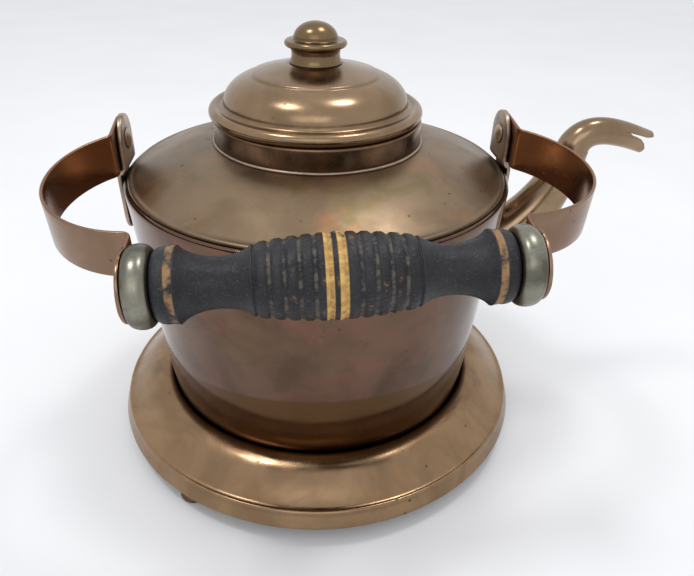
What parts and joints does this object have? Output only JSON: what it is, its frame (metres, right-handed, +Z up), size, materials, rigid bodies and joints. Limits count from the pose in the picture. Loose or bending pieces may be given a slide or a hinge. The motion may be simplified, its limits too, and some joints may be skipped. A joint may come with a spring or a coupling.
{
  "type": "kettle",
  "caption": "Round copper kettle with a domed knobbed lid, a curved side spout and a folding bail with a turned black wooden grip, set in a footed copper ring stand",
  "frame": {"origin": "on the kettle's axis, on the plane under the stand's feet", "axes": "+Z up, +X towards the spout and along the bail's hinge axis, -Y the side over which the bail is folded"},
  "size_m": [0.2941, 0.2464, 0.2198],
  "materials": {
    "stand_copper": "satin, golden brown, spotted",
    "cast_copper": "dull cast",
    "body_copper": "satin, blotched",
    "shoulder_copper": "dull brown patina",
    "dark_copper": "dull, darkened",
    "lid_copper": "polished, worn",
    "knob_bronze": "polished, olive tarnish",
    "lug_metal": "worn, dark in the corners",
    "strap_copper": "brushed, brown",
    "ferrule_metal": "aged, stained",
    "grip_wood": "worn satin black paint",
    "rod_steel": "dull"
  },
  "bodies": {
    "stand": {"stand_ring": "stand_copper", "stand_feet": "cast_copper"},
    "kettle": {"body_wall": "body_copper", "body_bottom": "body_copper", "shoulder": "shoulder_copper", "neck_collar": "dark_copper", "spout": "body_copper", "lug_left": "lug_metal", "lug_right": "lug_metal", "lug_rivets": "lug_metal", "pivot_left": "lug_metal", "pivot_right": "lug_metal"},
    "bail": {"strap_left": "strap_copper", "strap_right": "strap_copper", "ferrule_left": "ferrule_metal", "ferrule_right": "ferrule_metal", "grip": "grip_wood", "handle_rod": "rod_steel", "rod_washers": "rod_steel"},
    "lid": {"lid_dome": "lid_copper", "lid_skirt": "dark_copper", "lid_knob": "knob_bronze", "knob_rivet": "rod_steel", "knob_washer": "rod_steel"}
  },
  "joints": [
    {"name": "kettle_lift", "type": "slide", "parent": "stand", "child": "kettle", "axis": [0, 0, 1], "range_m": [0, 0.06]},
    {"name": "bail_hinge", "type": "hinge", "parent": "kettle", "child": "bail", "pos_m": [0, 0, 0.1655], "axis": [-1, 0, 0], "range_deg": [0, 194]},
    {"name": "lid_lift", "type": "slide", "parent": "kettle", "child": "lid", "axis": [0, 0, 1], "range_m": [0, 0.06]}
  ]
}
